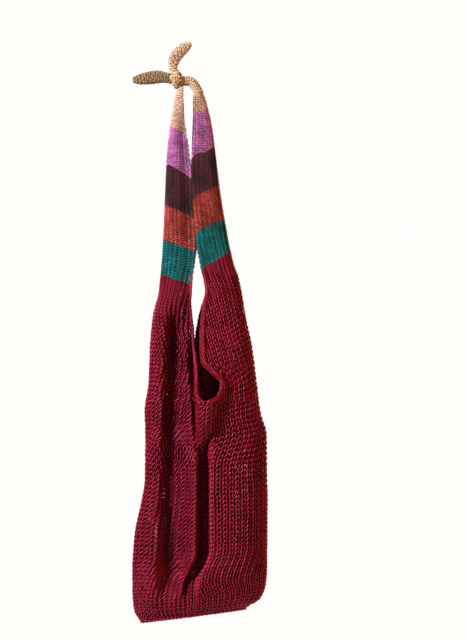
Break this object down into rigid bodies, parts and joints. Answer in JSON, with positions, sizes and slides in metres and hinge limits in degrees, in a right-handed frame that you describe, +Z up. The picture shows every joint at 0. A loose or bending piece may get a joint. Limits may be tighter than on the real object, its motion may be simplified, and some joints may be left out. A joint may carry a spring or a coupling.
{
  "type": "knitted market bag",
  "caption": "Hand-knitted openwork market bag hanging by a knotted pair of striped shoulder straps, its body fallen into long soft folds under a low front neckline.",
  "frame": {"origin": "the point under the hanging loop where the bag's weight is carried", "axes": "+Z up, +X to the right of someone facing the front neckline, +Y from front to rear"},
  "size_m": [0.1828, 0.0884, 0.7885],
  "materials": {
    "crimson": "smooth crimson yarn with a soft shine",
    "teal": "smooth teal yarn with a soft shine",
    "rust": "smooth rust-red yarn",
    "plum": "smooth dark plum yarn",
    "orchid": "smooth orchid yarn",
    "tan": "marled tan yarn with brown flecks"
  },
  "bodies": {
    "root": {"body": "crimson", "left_strap_teal": "teal", "left_strap_rust": "rust", "left_strap_plum": "plum", "left_strap_orchid": "orchid", "left_strap_tan": "tan", "right_strap_teal": "teal", "right_strap_rust": "rust", "right_strap_plum": "plum", "right_strap_orchid": "orchid", "right_strap_tan": "tan", "hanging_loop": "tan", "knot": "tan", "upper_tail": "tan", "left_tail": "tan"}
  },
  "joints": []
}
